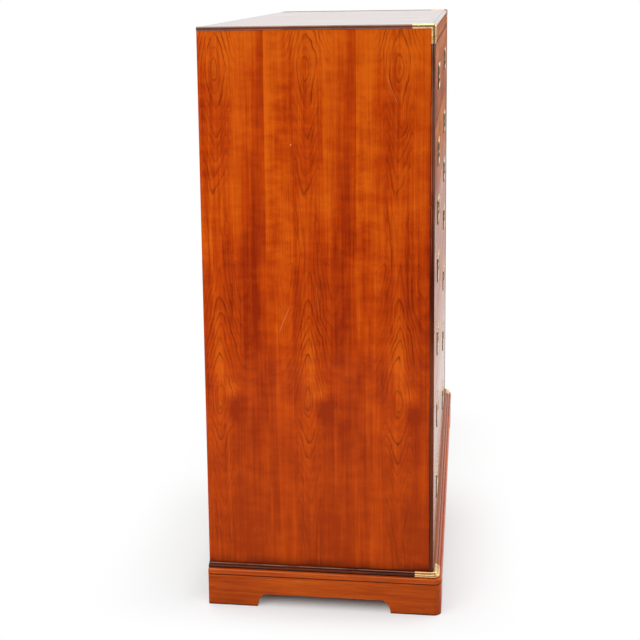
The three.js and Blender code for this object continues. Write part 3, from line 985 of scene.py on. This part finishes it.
class Form:
    """A mesh in the making, which becomes a piece that rides on a body."""

    def __init__(self, name: str) -> None:
        """Starts the empty mesh of a piece by name."""
        self.name = name
        self.mesh = bmesh.new()

    def loft(self, loops: Sequence[Sequence[Sequence[float]]]) -> Form:
        """Joins closed loops of points in a row and fills the first and the last.

        Args:
            loops: The loops, each with as many points.

        Returns:
            The form itself.
        """
        rings = [[self.mesh.verts.new(point) for point in loop] for loop in loops]
        count = len(rings[0])
        for first, second in zip(rings, rings[1:]):
            for i in range(count):
                j = (i + 1) % count
                self.mesh.faces.new((first[i], first[j], second[j], second[i]))
        self.mesh.faces.new(rings[0][::-1])
        self.mesh.faces.new(rings[-1])
        return self

    def moulding(self, section: Outline, stations: Sequence[Station]) -> Form:
        """Draws a section of offsets and heights past a row of stops."""
        return self.loft([[stop.at(*point) for point in section] for stop in stations])

    def lathe(self, profile: Outline, centre: Sequence[float], axis: Sequence[float], sides: int) -> Form:
        """Turns a profile about an axis.

        Args:
            profile: Radii and lengths along the axis.
            centre: Where the axis starts.
            axis: Which way it goes.
            sides: How many sides the turning has.

        Returns:
            The form itself.
        """
        turn = Vector(axis).normalized().to_track_quat("Z", "Y").to_matrix()
        loops = []
        for radius, length in profile:
            loops.append([Vector(centre) + turn @ Vector((u, v, length)) for u, v in ring(radius, sides)])
        return self.loft(loops)

    def piece(
        self, body: str, finish: Material, slot: str, node: str = "", sharp: float = 32.0
    ) -> None:
        """Closes the mesh and hands it to the frame.

        Args:
            body: The body that it rides on.
            finish: Its material.
            slot: The record's slot of that material.
            node: The solid that it replaces.
            sharp: The angle from which an edge is sharp, in degrees.
        """
        bmesh.ops.remove_doubles(self.mesh, verts=self.mesh.verts, dist=1e-6)
        bmesh.ops.recalc_face_normals(self.mesh, faces=self.mesh.faces)
        made = solid(self.name, self.mesh)
        made.data.shade_smooth()
        made.data.set_sharp_from_angle(angle=math.radians(sharp))
        made.data.materials.append(finish)
        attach(made, body)
        if node:
            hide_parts(node)
        LOG.info("made %s on %s", self.name, body)


# ---- Sub-assemblies ----


@dataclass
class Carcase:
    """The boards of the case, which keep their solids and get their woods, and the back's nails."""

    nodes: dict[str, Any]
    nail_rows: tuple[float, float] = (1236 * MM, 85 * MM)
    nail_gap: float = 155 * MM
    nail_side: float = 633 * MM
    nail_lowest: float = 150 * MM
    nail_rise: float = 130 * MM
    nail_sunk: float = 0.3 * MM

    def build(self) -> None:
        """Gives each board its wood."""
        side = SidePanelFinish().build()
        board = PlainWood("back_board", BOARD, Run.ALONG_Z, rough=0.62, gloss=0.25, cloudy=0.35)
        inner = PlainWood("inner_board", OAK, Run.ALONG_X, rough=0.6, grain=0.7, gloss=0.25, cloudy=0.6)
        inner = inner.build()
        plan = {
            "side_panel_left": side,
            "side_panel_right": side,
            "top_panel": TopFinish().build(),
            "top_rail": FrontFinish(middle=1.245, seed=8.0).build(),
            "back_panel": board.build(),
            "bottom_panel": inner,
            "plinth_back": inner,
            **{f"dust_panel_{i}": inner for i in range(1, CHEST.drawers)},
        }
        for name, finish in plan.items():
            coat(self.nodes[name], finish)
        self.nails()

    def nails(self) -> None:
        """Makes the round heads that hold the back in its rebate."""
        form = Form("back_nails")
        head = [(2.1 * MM, 0.0), (1.9 * MM, 0.2 * MM), (1.0 * MM, 0.3 * MM), (0.1 * MM, 0.34 * MM)]
        places = [(i * self.nail_gap, z) for z in self.nail_rows for i in range(-4, 5)]
        heights = [self.nail_lowest + self.nail_rise * i for i in range(9)]
        places += [(sign * self.nail_side, z) for _, sign in SIDES for z in heights]
        for x, z in places:
            form.lathe(head, (x, CHEST.back_y - self.nail_sunk, z), (0, 1, 0), 12)
        form.piece("case", NailFinish().build(), "board")


@dataclass
class Mouldings:
    """The dark beads, the reeds and the cap moulding."""

    steps: int = 9

    def staff_bead(self, band: float) -> Outline:
        """The section of a round bead on the corner of a flat band, about the bead's axis.

        Args:
            band: How far the band reaches.

        Returns:
            The section.
        """
        radius, flat = CHEST.bead_radius, CHEST.bead_radius - CHEST.bead_stand
        curve = arc(0, 0, radius, -90, CHEST.quirk_angle, self.steps * 3)
        quirk = curve[-1][0] - CHEST.quirk_width
        return [(-band, -radius), *curve, (quirk, flat), (-band, flat)]

    def beads(self) -> None:
        """Makes the beads on the top's edges and on the front's corners."""
        size = CHEST
        turn = size.half_width - size.top_band
        # The top's edge bead gets wear and a painted highlight along its crest.
        wood = PlainWood("edge_bead_wood", BEAD, Run.ALONG_X, polish=1.0, wraps_at=turn, wear_and_highlight=0.85)
        section = [(u, size.bead_z + v) for u, v in self.staff_bead(size.top_band)]
        form = Form("edge_bead").moulding(section, three_sides(size.bead_x, size.bead_y, size.back_y))
        form.piece("case", wood.build(), "bead", "top_edge_bead")
        # The upright beads get wear and a painted highlight down the middle of their crest, high up only.
        line = {"wear_and_highlight": 0.85, "wear_and_highlight_line": (1, 0.5), "wear_and_highlight_above": (0.7, 1.05)}
        upright = PlainWood("bead_wood_upright", BEAD, Run.ALONG_Z, polish=0.12, **line).build()
        section = [(size.bead_x + u, size.bead_y - v) for u, v in self.staff_bead(size.stile_band)]
        for side, sign in SIDES:
            ends = (size.deck_line, size.bead_z - size.bead_radius)
            form = Form(f"stile_bead_{side}").loft([[(sign * x, y, z) for x, y in section] for z in ends])
            form.piece("case", upright, "bead", f"corner_bead_{side}")

    def build(self) -> None:
        """Makes every moulding."""
        self.beads()
        size, low, proud = CHEST, CHEST.plinth_height, CHEST.cap_proud
        lip = low + size.cap_quirk
        look = {"polish": 0.15, "rough": 0.26, "cloudy": 0.6, "streaky": 0.6, "wraps_at": size.half_width}
        # The cap gets wear and a painted highlight on its rounded top, and painted shade in the quirk below
        # it.
        worn = {"wear_and_highlight": 0.5, "wear_and_highlight_tone": srgb(238, 146, 84), "painted_shade_below": lip + 1.2 * MM}
        wood = PlainWood("cap_wood", CAP, Run.ALONG_X, **look, **worn)
        inner = proud - 2 * size.cap_quirk
        nose = arc(proud - size.cap_round, size.cap_top - size.cap_round, size.cap_round, 0, 90, self.steps)
        section = [(0.0, low), (inner, low), (inner, lip), (proud, lip), *nose, (0.0, size.cap_top)]
        way = three_sides(size.half_width, size.front_y, size.back_y)
        Form("cap_moulding").moulding(section, way).piece("case", wood.build(), "plinth", "plinth_cap")
        crown = size.reed_top - size.reed_radius
        # The reeds get a painted highlight with wear on the upper reed's crown, painted shade where they meet
        # the cap, and painted light along the front run.
        look = {"polish": 0.35, "wraps_at": size.half_width, "painted_shade_below": size.cap_top + 3.2 * MM}
        worn = {"wear_and_highlight": 0.85, "wear_and_highlight_above": (crown - 0.5 * MM, crown + 0.5 * MM), "painted_front_light": 0.8}
        wood = PlainWood("reed_wood", BEAD, Run.ALONG_X, **look, **worn)
        reeds = reed_outline(0.0, size.cap_top, self.steps * 2)
        section = [(0.0, size.cap_top), *reeds, (0.0, size.reed_top)]
        Form("double_reed").moulding(section, way).piece("case", wood.build(), "bead", "base_bead")


def reed_outline(skin: float, lowest: float, steps: int) -> Outline:
    """The two reeds' outline, grown outwards by a skin.

    Args:
        skin: How much it is grown.
        lowest: Where it starts.
        steps: How many pieces each curve has.

    Returns:
        The outline, from the lower reed to the upper one's top.
    """
    size = CHEST
    radius = size.reed_radius + skin
    outer = (size.reed_proud - size.reed_radius, size.cap_top + size.reed_radius)
    inner = (outer[0] - size.reed_step, size.reed_top - size.reed_radius)
    rise = inner[1] - outer[1]
    heading = math.degrees(math.atan2(rise, -size.reed_step))
    spread = math.degrees(math.acos(min(1.0, math.hypot(size.reed_step, rise) / (2 * radius))))
    start = math.degrees(math.asin(max(-1.0, (lowest - outer[1]) / radius)))
    lower = arc(*outer, radius, start, heading - spread, steps)
    upper = arc(*inner, radius, heading - 180 + spread, 90, steps)
    return [*lower, *upper[1:]]


@dataclass
class BracketPlinth:
    """The plinth's boards, with feet cut in their lower edges and rounded front corners."""

    cove_steps: int = 10
    arris: float = 1.2 * MM
    joint: float = 0.3 * MM

    def profile(self, start: float, end: float) -> Outline:
        """The lower edge between two feet.

        Args:
            start: Where the first foot ends.
            end: Where the second foot starts.

        Returns:
            Distances and heights.
        """
        size = CHEST
        shoulder = size.foot_cut - size.cove_rise
        curve = arc(0, 0, 1, size.cove_start, 90, self.cove_steps)
        foot_u, foot_v = curve[0]
        cove = [
            (size.cove_run * (foot_u - u) / foot_u, shoulder + size.cove_rise * (v - foot_v) / (1 - foot_v))
            for u, v in curve
        ]
        left = [(start + inward, height) for inward, height in cove]
        right = [(end - inward, height) for inward, height in cove[::-1]]
        return [(start, 0.0), *left, *right, (end, 0.0)]

    def board(self, name: str, stops: Sequence[tuple[Station, float]]) -> Form:
        """A board whose lower edge rises and falls along its way.

        Args:
            name: The piece's name.
            stops: The stops, with the lower edge's height at each.

        Returns:
            The form.
        """
        top, outer = CHEST.plinth_height, CHEST.plinth_proud
        inner, eased = outer - CHEST.plinth_thick, outer - self.arris
        loops = []
        for stop, low in stops:
            section = [(inner, low), (eased, low), (outer, low + self.arris), (outer, top), (inner, top)]
            loops.append([stop.at(*point) for point in section])
        return Form(name).loft(loops)

    @staticmethod
    def turn(x: float, y: float, start: float, end: float) -> list[tuple[Station, float]]:
        """The stops round a corner, where the board stands on the floor."""
        return [(stop, 0.0) for stop in corner(x, y, start, end, 8)]

    def build(self) -> None:
        """Makes the front and the two sides."""
        size, half, y = CHEST, CHEST.half_width, CHEST.front_y
        # Painted shade along the lowest few millimetres of the boards, where they meet the floor.
        look = {"polish": 0.08, "rough": 0.34, "cloudy": 0.8, "streaky": 0.55, "painted_shade_below": 3 * MM}
        level = PlainWood("plinth_wood_front", PLINTH, Run.ALONG_X, **look).build()
        deep = PlainWood("plinth_wood_side", PLINTH, Run.ALONG_Y, **look).build()
        cut = half + size.plinth_proud - size.foot_length
        stops = [(Station(x, y, (0, -1)), low) for x, low in self.profile(-cut, cut)]
        stops = [*self.turn(-half, y, 225, 270), *stops, *self.turn(half, y, 270, 315)]
        self.board("plinth_face", stops).piece("case", level, "plinth", "plinth_front", 28)
        edge = self.profile(y - size.plinth_proud + size.foot_length, size.back_y - size.foot_length)
        for (side, sign), turn in zip(SIDES, ((180, 225), (0, -45))):
            x = sign * half
            stops = [(Station(x, at, (sign, 0)), low) for at, low in ((size.back_y, 0.0), *edge[::-1])]
            form = self.board(f"plinth_end_{side}", [*stops, *self.turn(x, y + self.joint, *turn)])
            form.piece("case", deep, "plinth", f"plinth_{side}", 28)


@dataclass
class CornerBrass:
    """The brass corners of the top and the base, with their pins."""

    brass: Material
    gap: float = 0.3 * MM
    thick: float = 0.8 * MM
    top_leg: float = 42 * MM
    stile_leg: float = 35 * MM
    base_leg: float = 39 * MM
    edge_pin: float = 29 * MM
    stile_pin: float = 25 * MM
    steps: int = 14

    def base(self) -> None:
        """Makes the two skins over the reeds."""
        size, half, y = CHEST, CHEST.half_width, CHEST.front_y
        near = size.bead_radius - size.bead_inset + self.gap
        outer, inner = (
            [*reed_outline(skin, size.cap_top + self.gap, 14), (near, size.reed_top + skin)]
            for skin in (self.gap + self.thick, self.gap)
        )
        ends = Station(-half, y + self.base_leg, (-1, 0)), Station(self.base_leg - half, y, (0, -1))
        way = (ends[0], *corner(-half, y, 180, 270, 12), ends[1])
        loops = [[stop.at(*point) for point in (*outer, *inner[::-1])] for stop in way]
        for side, sign in SIDES:
            turned = [[(-sign * u, v, w) for u, v, w in loop] for loop in loops]
            form = Form(f"base_corner_{side}").loft(turned)
            form.piece("case", self.brass, "brass", f"corner_brass_base_{side}", 40)

    def skin(self, side: float, face: float) -> Outline:
        """The section of a skin round a bead, outside two faces of the case.

        Args:
            side: How far one face lies from the bead's axis.
            face: How far the other face lies.

        Returns:
            The section.
        """
        inner = CHEST.bead_radius + self.gap
        (r, start, end), (s, first, last) = (
            (r, math.degrees(math.acos(-side / r)), 360 - math.degrees(math.asin(face / r)))
            for r in (inner + self.thick, inner)
        )
        return [*arc(0, 0, r, start, end, self.steps * 2), *arc(0, 0, s, last, first, self.steps * 2)]

    def top(self) -> None:
        """Makes the two skins over the top corners' beads: three legs and an eighth of a ball."""
        inner = CHEST.bead_radius + self.gap
        face = inner - CHEST.bead_stand
        ahead, beside = self.skin(face, face), self.skin(CHEST.bead_inset + self.gap, face)
        quarter = [(u, v, inner + self.thick) for u, v in arc(0, 0, inner + self.thick, 180, 270, self.steps)]
        quarter += [(u, v, inner) for u, v in arc(0, 0, inner, 270, 180, self.steps)]
        shapes = (
            [[(d, u, -v) for u, v in ahead] for d in (0.0, self.top_leg)],
            [[(u, d, -v) for u, v in beside] for d in (0.0, self.top_leg)],
            [[(u, v, -d) for u, v in beside] for d in (0.0, self.stile_leg)],
            [[(u * c, v * c, r * s) for u, v, r in quarter] for c, s in arc(0, 0, 1, 0, 89, self.steps)],
        )
        x, y, z = CHEST.bead_x, CHEST.bead_y, CHEST.bead_z
        for side, sign in SIDES:
            form = Form(f"top_corner_{side}")
            for loops in shapes:
                form.loft([[(-sign * (u - x), v + y, w + z) for u, v, w in loop] for loop in loops])
            form.piece("case", self.brass, "brass", f"corner_brass_top_{side}", 38)

    def pins(self) -> None:
        """Makes the small pins that hold the top's skins."""
        head = [(1.2 * MM, -0.8 * MM), (1.2 * MM, 0.1 * MM), (0.8 * MM, 0.3 * MM), (0.1 * MM, 0.36 * MM)]
        radius = CHEST.bead_radius + self.gap + self.thick
        for side, sign in SIDES:
            form = Form(f"corner_pins_{side}")
            x, y, z = sign * CHEST.bead_x, CHEST.bead_y, CHEST.bead_z
            places = (
                ((x, y + self.edge_pin, z), (sign, 0, 0.35)),
                ((x - sign * self.edge_pin, y, z), (0, -1, 0.35)),
                ((x, y, z - self.stile_pin), (sign, -0.4, 0)),
            )
            for place, way in places:
                form.lathe(head, Vector(place) + Vector(way).normalized() * radius, way, 14)
            form.piece("case", self.brass, "brass")

    def build(self) -> None:
        """Makes all four corners."""
        self.base()
        self.top()
        self.pins()


@dataclass
class FlushPull:
    """One flush pull: its plate with a sunk cup, its screws and its bail."""

    row: int
    side: str
    x: float
    z: float
    brass: Material
    front: float = CHEST.face_y - PULL.thick
    hinge_y: float = front + PULL.set_back
    hinge_rise: float = PULL.cup_height / 2 - PULL.below_top

    def plate(self) -> None:
        """Makes the plate, with bosses round the pins' holes."""
        pull, wall, deep = PULL, 2 * PULL.cup_wall, PULL.cup_depth
        rim = (pull.width, pull.height, pull.corner)
        cup = (pull.cup_width, pull.cup_height, pull.cup_corner)
        steps = (
            (cup, wall, deep + pull.cup_floor),
            (cup, wall, pull.thick),
            (rim, 0.0, pull.thick),
            (rim, 0.0, 0.7 * MM),
            (rim, -0.4 * MM, 0.25 * MM),
            (rim, -1.4 * MM, 0.0),
            (cup, 1.6 * MM, 0.0),
            (cup, 0.4 * MM, 0.3 * MM),
            (cup, 0.0, 0.9 * MM),
            (cup, -0.4 * MM, deep - 2.2 * MM),
            (cup, -1.4 * MM, deep - 0.8 * MM),
            (cup, -4.4 * MM, deep),
        )
        loops = []
        for (width, height, radius), more, depth in steps:
            outline = rounded(width + more, height + more, radius + more / 2)
            loops.append([(self.x + u, self.front + depth, self.z + v) for u, v in outline])
        form = Form(f"plate_{self.row}_{self.side}").loft(loops)
        boss = [(3.6 * MM, -0.4 * MM), (3.6 * MM, 0.3 * MM), (3.1 * MM, 0.6 * MM), (0.2 * MM, 0.62 * MM)]
        for _, sign in SIDES:
            at = (self.x + sign * pull.cup_width / 2, self.hinge_y + 0.3 * MM, self.z + self.hinge_rise)
            form.lathe(boss, at, (-sign, 0, 0), 20)
        node = f"pull_plate_{self.row}_{self.side}"
        form.piece(f"drawer_{self.row}", self.brass, "brass", node, 50)

    def screws(self) -> None:
        """Makes the four slotted screws in the plate's corners."""
        form = Form(f"screws_{self.row}_{self.side}")
        chord = math.degrees(math.asin(PULL.slot_half / PULL.screw_radius))
        curve = arc(0, 0, PULL.screw_radius, chord, 180 - chord, 10)
        levels = ((1.0, 0.4 * MM), (1.0, -0.12 * MM), (0.82, -0.34 * MM))
        for i, (across, up) in enumerate(((-1, -1), (1, -1), (1, 1), (-1, 1))):
            x, z = self.x + across * PULL.screw_x, self.z + up * PULL.screw_z
            for half in (0, 180):
                turn = math.radians(20 + 47 * i + 31 * self.row + half)
                c, s = math.cos(turn), math.sin(turn)
                loops = []
                for scale, lift in levels:
                    flat = [(u * scale, max(v * scale, PULL.slot_half)) for u, v in curve]
                    loops.append([(x + u * c - v * s, self.front + lift, z + u * s + v * c) for u, v in flat])
                form.loft(loops)
        form.piece(f"drawer_{self.row}", self.brass, "brass", sharp=40)

    def bail(self) -> None:
        """Makes the bail that swings in the cup."""
        pull, bar = PULL, PULL.bail_radius
        arm = pull.cup_width / 2 - pull.side_gap - bar
        pin = pull.cup_width / 2 + pull.pin_length
        bend = arc(arm - pull.bend, pull.bend - pull.drop, pull.bend, -90, 0, 10)
        path = [(arm * share, -pull.drop) for share in (0.0, 0.3, 0.6)]
        path += [*bend, (arm, -2.2 * MM), (arm, 0.2 * MM)]
        path = [(-x, z) for x, z in path[:0:-1]] + path
        high = self.z + self.hinge_rise
        loops = []
        for before, (x, z), after in zip(path[:1] + path, path, path[1:] + path[-1:]):
            run, rise = Vector((after[0] - before[0], after[1] - before[1])).normalized()
            loop = [(self.x + x - rise * u, self.hinge_y + v, high + z + run * u) for u, v in ring(bar, 18)]
            loops.append(loop)
        body = f"pull_bail_{self.row}_{self.side}"
        form = Form(f"bail_{self.row}_{self.side}").loft(loops)
        eye = [(0.4 * MM, -2.4 * MM), (2.4 * MM, -2.3 * MM), (bar, -1.8 * MM), (bar, 1.8 * MM)]
        eye += [(2.4 * MM, 2.3 * MM), (pull.pin_radius, 2.4 * MM), (pull.pin_radius, pin - arm)]
        for _, sign in SIDES:
            form.lathe(eye, (self.x + sign * arm, self.hinge_y, high), (sign, 0, 0), 18)
        form.piece(body, self.brass, "brass", body, 45)


@dataclass
class DrawerBank:
    """The seven drawers with their pulls."""

    nodes: dict[str, Any]
    brass: Material

    def build(self) -> None:
        """Dresses the drawers and makes their pulls."""
        lines = CHEST.lines
        for row in range(1, CHEST.drawers + 1):
            coat(self.nodes[f"drawer_{row}"], DrawerFinish(row).build())
            middle = (lines[row - 1] + lines[row]) / 2
            for side, sign in SIDES:
                pull = FlushPull(row, side, sign * PULL.spot, middle, self.brass)
                pull.plate()
                pull.screws()
                pull.bail()


@dataclass
class Studio:
    """The floor, the light and the camera at the photograph's place."""

    place: tuple[float, float, float] = (-3.3504, -0.3074, 1.3588)
    yaw: float = 8.673
    pitch: float = 9.764
    roll: float = -0.949
    focal: float = 1317.65
    centre: tuple[float, float] = (271.31, 208.73)
    picture: int = 640
    sensor: float = 36.0
    floor_radius: float = 2.6
    backdrop: float = 0.82
    dim: float = 0.22

    def camera(self) -> None:
        """Sets the camera."""
        yaw, pitch, roll = (math.radians(a) for a in (self.yaw, self.pitch, self.roll))
        level = Vector((math.sin(yaw), -math.cos(yaw), 0))
        ahead = Vector((math.cos(yaw) * math.cos(pitch), math.sin(yaw) * math.cos(pitch), -math.sin(pitch)))
        over = level.cross(ahead)
        right = math.cos(roll) * level + math.sin(roll) * over
        up = -math.sin(roll) * level + math.cos(roll) * over
        lens = bpy.data.cameras.new("camera")
        lens.sensor_width = self.sensor
        lens.lens = self.focal * self.sensor / self.picture
        lens.shift_x = (self.picture / 2 - self.centre[0]) / self.picture
        lens.shift_y = (self.centre[1] - self.picture / 2) / self.picture
        made = linked("camera", lens)
        turn = Matrix((right, up, -ahead)).transposed().to_4x4()
        made.matrix_world = Matrix.Translation(self.place) @ turn
        bpy.context.scene.camera = made

    def lamp(self, name: str, power: float, size: float, at: Sequence[float], aim: Sequence[float]) -> None:
        """Adds a square soft light.

        Args:
            name: Its name.
            power: Its power, in watts.
            size: Its side, in metres.
            at: Where it is.
            aim: What it points at.
        """
        light = bpy.data.lights.new(name, "AREA")
        light.energy, light.size = power, size
        made = linked(name, light)
        made.location = at
        made.rotation_euler = (Vector(aim) - Vector(at)).to_track_quat("-Z", "Y").to_euler()

    def surroundings(self) -> None:
        """Sets the world: a pale room with a white backdrop, dim towards the camera."""
        world = bpy.data.worlds.new("studio")
        sheet = Sheet("", world)
        x, y, z = sheet.parts("Generated")
        ahead = x * 0.75 + y * 0.3 + z * 0.6
        room = ahead.ease(-0.5, 0.45) * (self.backdrop - self.dim) + self.dim
        seen = sheet.seen(ahead.ease(0.0, 0.5) * 0.35)
        bright = seen + (1 - seen) * room
        ground = sheet.take("Background", {"Color": (1.0, 1.0, 1.0, 1.0), "Strength": bright})
        sheet.node("OutputWorld", {0: ground})
        bpy.context.scene.world = world

    def build(self) -> None:
        """Makes the whole studio."""
        self.camera()
        mesh = bmesh.new()
        bmesh.ops.create_circle(mesh, cap_ends=True, segments=96, radius=self.floor_radius)
        floor = solid("floor", mesh)
        floor.data.materials.append(FloorFinish().build())
        self.surroundings()
        self.lamp("left_box", 52.0, 2.2, (-3.2, 1.9, 2.3), (-0.5, 0.0, 0.7))
        self.lamp("front_box", 40.0, 2.2, (0.9, -3.4, 2.2), (0.0, 0.0, 0.7))
        self.lamp("top_box", 44.0, 3.2, (0.2, 0.4, 3.6), (0.0, 0.0, 0.0))


def main() -> None:
    """Builds the chest's looks, sub-assembly by sub-assembly."""
    logging.basicConfig(level=logging.INFO, format="%(name)s: %(message)s")
    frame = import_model()
    nodes = frame["nodes"]
    # The pulls' brass is painted darker on its sideways faces, as shade and reflection.
    brass, pull_brass = BrassFinish().build(), BrassFinish("pull_brass", painted_side_shade=0.9).build()
    units = (Studio(), Carcase(nodes), Mouldings(), BracketPlinth(), CornerBrass(brass))
    for unit in (*units, DrawerBank(nodes, pull_brass)):
        unit.build()
    bpy.context.scene.view_settings.view_transform = "Standard"


if __name__ == "__main__":
    main()
